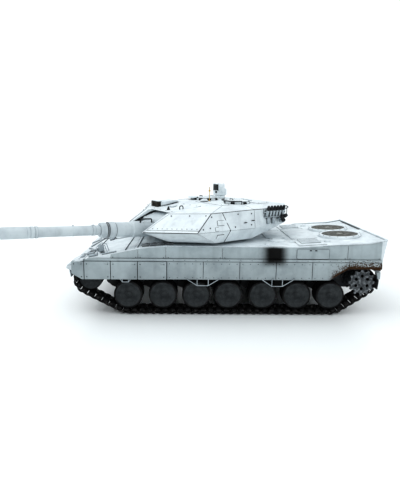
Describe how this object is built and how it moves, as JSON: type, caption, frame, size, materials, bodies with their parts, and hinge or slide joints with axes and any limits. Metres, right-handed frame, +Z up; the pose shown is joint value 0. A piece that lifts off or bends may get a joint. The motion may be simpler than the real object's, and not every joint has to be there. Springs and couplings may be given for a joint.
{
  "type": "rc tank",
  "caption": "Radio-controlled battle tank in winter white with an arrow-fronted turret, long gun, side skirts and sprung road wheels inside its tracks.",
  "frame": {"origin": "bottom centre of the tank's box at rest, on the ground plane", "axes": "+X from the front of the hull to its rear, +Y to the tank's right-hand side, +Z up; the turret rests turned to the left, towards -Y"},
  "size_m": [0.6074, 0.3606, 0.188],
  "materials": {
    "white_paint": "matt winter-white paint with grey wash in the panel lines",
    "side_paint": "matt pale grey-blue paint, dusty towards the ground",
    "track": "matt black links with worn pads",
    "wheel_grey": "satin dark grey disc with a black rubber tyre",
    "sprocket_grey": "worn grey paint with bright tooth edges",
    "arm_metal": "dark painted casting",
    "dark_trim": "matt black moulding",
    "grille": "olive-bronze mesh",
    "black_plastic": "moulded black plastic",
    "circuit": "green solder mask",
    "battery_wrap": "shrink wrap",
    "bare_metal": "cast and machined metal"
  },
  "bodies": {
    "hull": {"lower_hull": "side_paint", "upper_hull": "white_paint", "skirt_left": "side_paint", "skirt_right": "side_paint", "track_left": "track", "track_right": "track", "battery_pack": "battery_wrap", "battery_door": "black_plastic", "control_board": "circuit", "gearbox_left": "bare_metal", "gearbox_right": "bare_metal", "speaker": "black_plastic", "smoke_generator": "black_plastic", "traverse_motor": "bare_metal", "fan_grille_left": "grille", "fan_grille_right": "grille"},
    "turret": {"turret_shell": "white_paint", "turret_ring": "bare_metal", "gunner_sight": "white_paint", "smoke_launcher_left": "dark_trim", "smoke_launcher_right": "dark_trim"},
    "gun": {"mantlet": "white_paint", "recoil_unit": "bare_metal"},
    "barrel": {"barrel": "white_paint"},
    "commander_hatch": {"commander_hatch": "white_paint"},
    "loader_hatch": {"loader_hatch": "white_paint"},
    "driver_hatch": {"driver_hatch": "white_paint"},
    "panoramic_sight": {"panoramic_sight": "white_paint"},
    "sprocket_left": {"sprocket_left": "sprocket_grey"},
    "idler_left": {"idler_left": "wheel_grey"},
    "arm_left_1": {"swing_arm_left_1": "arm_metal"},
    "wheel_left_1": {"road_wheel_left_1": "wheel_grey"},
    "arm_left_2": {"swing_arm_left_2": "arm_metal"},
    "wheel_left_2": {"road_wheel_left_2": "wheel_grey"},
    "arm_left_3": {"swing_arm_left_3": "arm_metal"},
    "wheel_left_3": {"road_wheel_left_3": "wheel_grey"},
    "arm_left_4": {"swing_arm_left_4": "arm_metal"},
    "wheel_left_4": {"road_wheel_left_4": "wheel_grey"},
    "arm_left_5": {"swing_arm_left_5": "arm_metal"},
    "wheel_left_5": {"road_wheel_left_5": "wheel_grey"},
    "arm_left_6": {"swing_arm_left_6": "arm_metal"},
    "wheel_left_6": {"road_wheel_left_6": "wheel_grey"},
    "arm_left_7": {"swing_arm_left_7": "arm_metal"},
    "wheel_left_7": {"road_wheel_left_7": "wheel_grey"},
    "sprocket_right": {"sprocket_right": "sprocket_grey"},
    "idler_right": {"idler_right": "wheel_grey"},
    "arm_right_1": {"swing_arm_right_1": "arm_metal"},
    "wheel_right_1": {"road_wheel_right_1": "wheel_grey"},
    "arm_right_2": {"swing_arm_right_2": "arm_metal"},
    "wheel_right_2": {"road_wheel_right_2": "wheel_grey"},
    "arm_right_3": {"swing_arm_right_3": "arm_metal"},
    "wheel_right_3": {"road_wheel_right_3": "wheel_grey"},
    "arm_right_4": {"swing_arm_right_4": "arm_metal"},
    "wheel_right_4": {"road_wheel_right_4": "wheel_grey"},
    "arm_right_5": {"swing_arm_right_5": "arm_metal"},
    "wheel_right_5": {"road_wheel_right_5": "wheel_grey"},
    "arm_right_6": {"swing_arm_right_6": "arm_metal"},
    "wheel_right_6": {"road_wheel_right_6": "wheel_grey"},
    "arm_right_7": {"swing_arm_right_7": "arm_metal"},
    "wheel_right_7": {"road_wheel_right_7": "wheel_grey"}
  },
  "joints": [
    {"name": "turret_traverse", "type": "hinge", "parent": "hull", "child": "turret", "pos_m": [0.06125, 0.06011, 0.105], "axis": [0, 0, 1], "range_deg": [-153, 167]},
    {"name": "gun_elevation", "type": "hinge", "parent": "turret", "child": "gun", "pos_m": [-0.01843, 0.00837, 0.1245], "axis": [-0.5446, 0.8387, 0], "range_deg": [-10.6, 13.4]},
    {"name": "barrel_recoil", "type": "slide", "parent": "gun", "child": "barrel", "axis": [0.8378, 0.5441, -0.0454], "range_m": [0, 0.006], "stiffness_N_per_m": 150, "springref_m": -0.004},
    {"name": "commander_hatch_hinge", "type": "hinge", "parent": "turret", "child": "commander_hatch", "pos_m": [0.05606, 0.10206, 0.1653], "axis": [-0.5446, 0.8387, 0], "range_deg": [0, 85]},
    {"name": "loader_hatch_hinge", "type": "hinge", "parent": "turret", "child": "loader_hatch", "pos_m": [0.10333, 0.04213, 0.1653], "axis": [-0.5446, 0.8387, 0], "range_deg": [0, 85]},
    {"name": "driver_hatch_hinge", "type": "hinge", "parent": "hull", "child": "driver_hatch", "pos_m": [-0.09956, 0.11711, 0.09659], "axis": [-0.9792, 0, -0.203], "range_deg": [0, 100]},
    {"name": "panoramic_sight_spin", "type": "hinge", "parent": "turret", "child": "panoramic_sight", "pos_m": [0.06647, 0.12551, 0.17], "axis": [0, 0, 1], "continuous": true},
    {"name": "sprocket_left_spin", "type": "hinge", "parent": "hull", "child": "sprocket_left", "pos_m": [0.27215, -0.02689, 0.052], "axis": [0, 1, 0], "continuous": true},
    {"name": "idler_left_spin", "type": "hinge", "parent": "hull", "child": "idler_left", "pos_m": [-0.13625, -0.02689, 0.054], "axis": [0, 1, 0], "continuous": true},
    {"name": "arm_left_1_swing", "type": "hinge", "parent": "hull", "child": "arm_left_1", "pos_m": [-0.10605, -0.02689, 0.041], "axis": [0, -1, 0], "range_deg": [0, 12], "stiffness_Nm_per_rad": 0.6, "springref_deg": -8.59},
    {"name": "wheel_left_1_spin", "type": "hinge", "parent": "arm_left_1", "child": "wheel_left_1", "pos_m": [-0.08006, -0.02689, 0.029], "axis": [0, 1, 0], "continuous": true},
    {"name": "arm_left_2_swing", "type": "hinge", "parent": "hull", "child": "arm_left_2", "pos_m": [-0.05375, -0.02689, 0.041], "axis": [0, -1, 0], "range_deg": [0, 12], "stiffness_Nm_per_rad": 0.6, "springref_deg": -8.59},
    {"name": "wheel_left_2_spin", "type": "hinge", "parent": "arm_left_2", "child": "wheel_left_2", "pos_m": [-0.02775, -0.02689, 0.029], "axis": [0, 1, 0], "continuous": true},
    {"name": "arm_left_3_swing", "type": "hinge", "parent": "hull", "child": "arm_left_3", "pos_m": [-0.00305, -0.02689, 0.041], "axis": [0, -1, 0], "range_deg": [0, 12], "stiffness_Nm_per_rad": 0.6, "springref_deg": -8.59},
    {"name": "wheel_left_3_spin", "type": "hinge", "parent": "arm_left_3", "child": "wheel_left_3", "pos_m": [0.02295, -0.02689, 0.029], "axis": [0, 1, 0], "continuous": true},
    {"name": "arm_left_4_swing", "type": "hinge", "parent": "hull", "child": "arm_left_4", "pos_m": [0.04544, -0.02689, 0.041], "axis": [0, -1, 0], "range_deg": [0, 12], "stiffness_Nm_per_rad": 0.6, "springref_deg": -8.59},
    {"name": "wheel_left_4_spin", "type": "hinge", "parent": "arm_left_4", "child": "wheel_left_4", "pos_m": [0.07144, -0.02689, 0.029], "axis": [0, 1, 0], "continuous": true},
    {"name": "arm_left_5_swing", "type": "hinge", "parent": "hull", "child": "arm_left_5", "pos_m": [0.09785, -0.02689, 0.041], "axis": [0, -1, 0], "range_deg": [0, 12], "stiffness_Nm_per_rad": 0.6, "springref_deg": -8.59},
    {"name": "wheel_left_5_spin", "type": "hinge", "parent": "arm_left_5", "child": "wheel_left_5", "pos_m": [0.12384, -0.02689, 0.029], "axis": [0, 1, 0], "continuous": true},
    {"name": "arm_left_6_swing", "type": "hinge", "parent": "hull", "child": "arm_left_6", "pos_m": [0.15015, -0.02689, 0.041], "axis": [0, -1, 0], "range_deg": [0, 12], "stiffness_Nm_per_rad": 0.6, "springref_deg": -8.59},
    {"name": "wheel_left_6_spin", "type": "hinge", "parent": "arm_left_6", "child": "wheel_left_6", "pos_m": [0.17614, -0.02689, 0.029], "axis": [0, 1, 0], "continuous": true},
    {"name": "arm_left_7_swing", "type": "hinge", "parent": "hull", "child": "arm_left_7", "pos_m": [0.20134, -0.02689, 0.041], "axis": [0, -1, 0], "range_deg": [0, 12], "stiffness_Nm_per_rad": 0.6, "springref_deg": -8.59},
    {"name": "wheel_left_7_spin", "type": "hinge", "parent": "arm_left_7", "child": "wheel_left_7", "pos_m": [0.22734, -0.02689, 0.029], "axis": [0, 1, 0], "continuous": true},
    {"name": "sprocket_right_spin", "type": "hinge", "parent": "hull", "child": "sprocket_right", "pos_m": [0.27215, 0.14711, 0.052], "axis": [0, 1, 0], "continuous": true},
    {"name": "idler_right_spin", "type": "hinge", "parent": "hull", "child": "idler_right", "pos_m": [-0.13625, 0.14711, 0.054], "axis": [0, 1, 0], "continuous": true},
    {"name": "arm_right_1_swing", "type": "hinge", "parent": "hull", "child": "arm_right_1", "pos_m": [-0.10605, 0.14711, 0.041], "axis": [0, -1, 0], "range_deg": [0, 12], "stiffness_Nm_per_rad": 0.6, "springref_deg": -8.59},
    {"name": "wheel_right_1_spin", "type": "hinge", "parent": "arm_right_1", "child": "wheel_right_1", "pos_m": [-0.08006, 0.14711, 0.029], "axis": [0, 1, 0], "continuous": true},
    {"name": "arm_right_2_swing", "type": "hinge", "parent": "hull", "child": "arm_right_2", "pos_m": [-0.05375, 0.14711, 0.041], "axis": [0, -1, 0], "range_deg": [0, 12], "stiffness_Nm_per_rad": 0.6, "springref_deg": -8.59},
    {"name": "wheel_right_2_spin", "type": "hinge", "parent": "arm_right_2", "child": "wheel_right_2", "pos_m": [-0.02775, 0.14711, 0.029], "axis": [0, 1, 0], "continuous": true},
    {"name": "arm_right_3_swing", "type": "hinge", "parent": "hull", "child": "arm_right_3", "pos_m": [-0.00305, 0.14711, 0.041], "axis": [0, -1, 0], "range_deg": [0, 12], "stiffness_Nm_per_rad": 0.6, "springref_deg": -8.59},
    {"name": "wheel_right_3_spin", "type": "hinge", "parent": "arm_right_3", "child": "wheel_right_3", "pos_m": [0.02295, 0.14711, 0.029], "axis": [0, 1, 0], "continuous": true},
    {"name": "arm_right_4_swing", "type": "hinge", "parent": "hull", "child": "arm_right_4", "pos_m": [0.04544, 0.14711, 0.041], "axis": [0, -1, 0], "range_deg": [0, 12], "stiffness_Nm_per_rad": 0.6, "springref_deg": -8.59},
    {"name": "wheel_right_4_spin", "type": "hinge", "parent": "arm_right_4", "child": "wheel_right_4", "pos_m": [0.07144, 0.14711, 0.029], "axis": [0, 1, 0], "continuous": true},
    {"name": "arm_right_5_swing", "type": "hinge", "parent": "hull", "child": "arm_right_5", "pos_m": [0.09785, 0.14711, 0.041], "axis": [0, -1, 0], "range_deg": [0, 12], "stiffness_Nm_per_rad": 0.6, "springref_deg": -8.59},
    {"name": "wheel_right_5_spin", "type": "hinge", "parent": "arm_right_5", "child": "wheel_right_5", "pos_m": [0.12384, 0.14711, 0.029], "axis": [0, 1, 0], "continuous": true},
    {"name": "arm_right_6_swing", "type": "hinge", "parent": "hull", "child": "arm_right_6", "pos_m": [0.15015, 0.14711, 0.041], "axis": [0, -1, 0], "range_deg": [0, 12], "stiffness_Nm_per_rad": 0.6, "springref_deg": -8.59},
    {"name": "wheel_right_6_spin", "type": "hinge", "parent": "arm_right_6", "child": "wheel_right_6", "pos_m": [0.17614, 0.14711, 0.029], "axis": [0, 1, 0], "continuous": true},
    {"name": "arm_right_7_swing", "type": "hinge", "parent": "hull", "child": "arm_right_7", "pos_m": [0.20134, 0.14711, 0.041], "axis": [0, -1, 0], "range_deg": [0, 12], "stiffness_Nm_per_rad": 0.6, "springref_deg": -8.59},
    {"name": "wheel_right_7_spin", "type": "hinge", "parent": "arm_right_7", "child": "wheel_right_7", "pos_m": [0.22734, 0.14711, 0.029], "axis": [0, 1, 0], "continuous": true}
  ],
  "couplings": [
    {"joint": "idler_left_spin", "follows": "sprocket_left_spin", "ratio": 0.93258},
    {"joint": "wheel_left_1_spin", "follows": "sprocket_left_spin", "ratio": 0.76498},
    {"joint": "wheel_left_2_spin", "follows": "sprocket_left_spin", "ratio": 0.76498},
    {"joint": "wheel_left_3_spin", "follows": "sprocket_left_spin", "ratio": 0.76498},
    {"joint": "wheel_left_4_spin", "follows": "sprocket_left_spin", "ratio": 0.76498},
    {"joint": "wheel_left_5_spin", "follows": "sprocket_left_spin", "ratio": 0.76498},
    {"joint": "wheel_left_6_spin", "follows": "sprocket_left_spin", "ratio": 0.76498},
    {"joint": "wheel_left_7_spin", "follows": "sprocket_left_spin", "ratio": 0.76498},
    {"joint": "idler_right_spin", "follows": "sprocket_right_spin", "ratio": 0.93258},
    {"joint": "wheel_right_1_spin", "follows": "sprocket_right_spin", "ratio": 0.76498},
    {"joint": "wheel_right_2_spin", "follows": "sprocket_right_spin", "ratio": 0.76498},
    {"joint": "wheel_right_3_spin", "follows": "sprocket_right_spin", "ratio": 0.76498},
    {"joint": "wheel_right_4_spin", "follows": "sprocket_right_spin", "ratio": 0.76498},
    {"joint": "wheel_right_5_spin", "follows": "sprocket_right_spin", "ratio": 0.76498},
    {"joint": "wheel_right_6_spin", "follows": "sprocket_right_spin", "ratio": 0.76498},
    {"joint": "wheel_right_7_spin", "follows": "sprocket_right_spin", "ratio": 0.76498}
  ]
}
